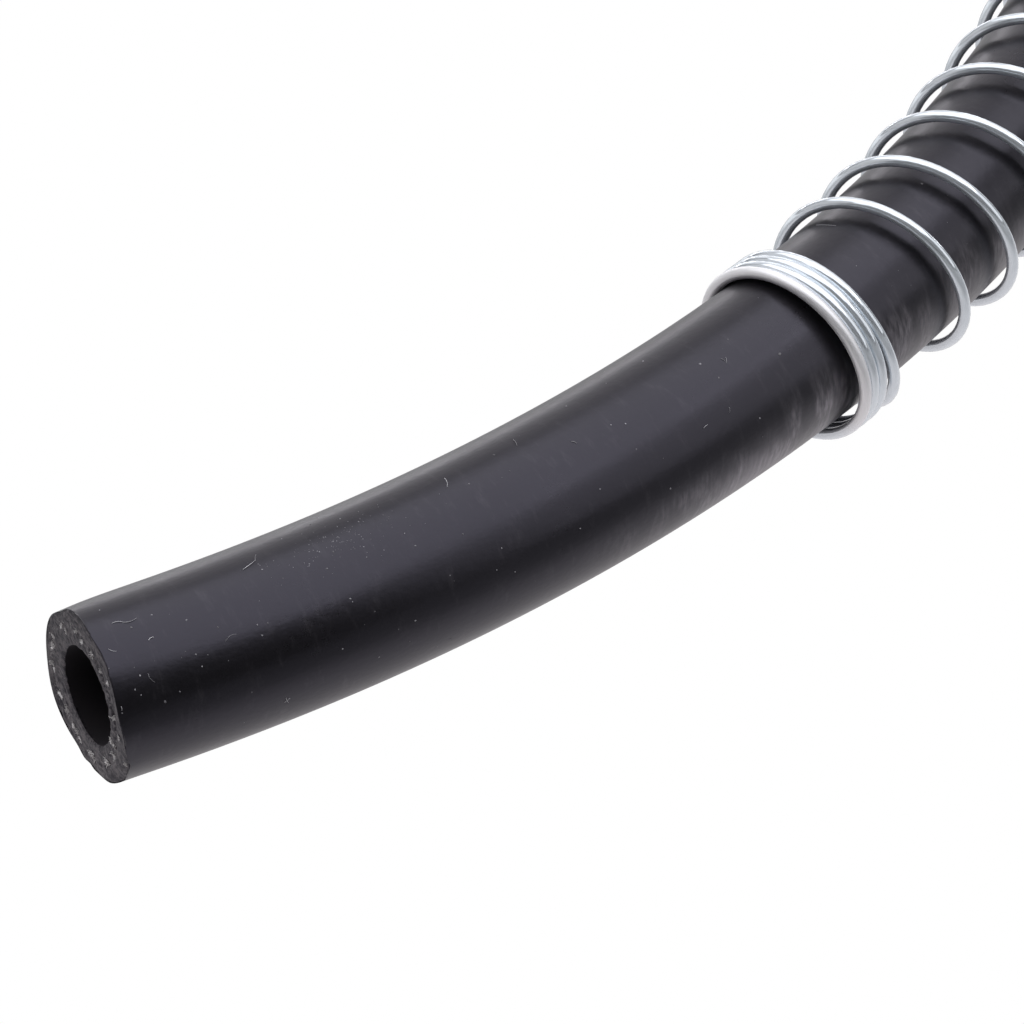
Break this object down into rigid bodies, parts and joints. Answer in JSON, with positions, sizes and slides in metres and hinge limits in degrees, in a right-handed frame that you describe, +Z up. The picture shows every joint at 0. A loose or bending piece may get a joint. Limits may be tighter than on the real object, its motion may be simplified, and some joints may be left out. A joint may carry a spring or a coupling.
{
  "type": "fuel hose",
  "caption": "Short length of black rubber fuel hose lying in a gentle bend, with a loose zinc-plated wire guard spring round its middle and plain cut ends.",
  "frame": {"origin": "middle of the part's outline seen from above, on the surface that it lies on", "axes": "+Z up; the hose runs in along +X from its near end and leaves along +Y at its far end"},
  "size_m": [0.1926, 0.2034, 0.0168],
  "materials": {
    "rubber": "satin black, extruded smooth, a little dusty",
    "zinc_wire": "bright zinc plating on round drawn wire"
  },
  "bodies": {
    "root": {"hose": "rubber", "guard_spring": "zinc_wire"}
  },
  "joints": []
}
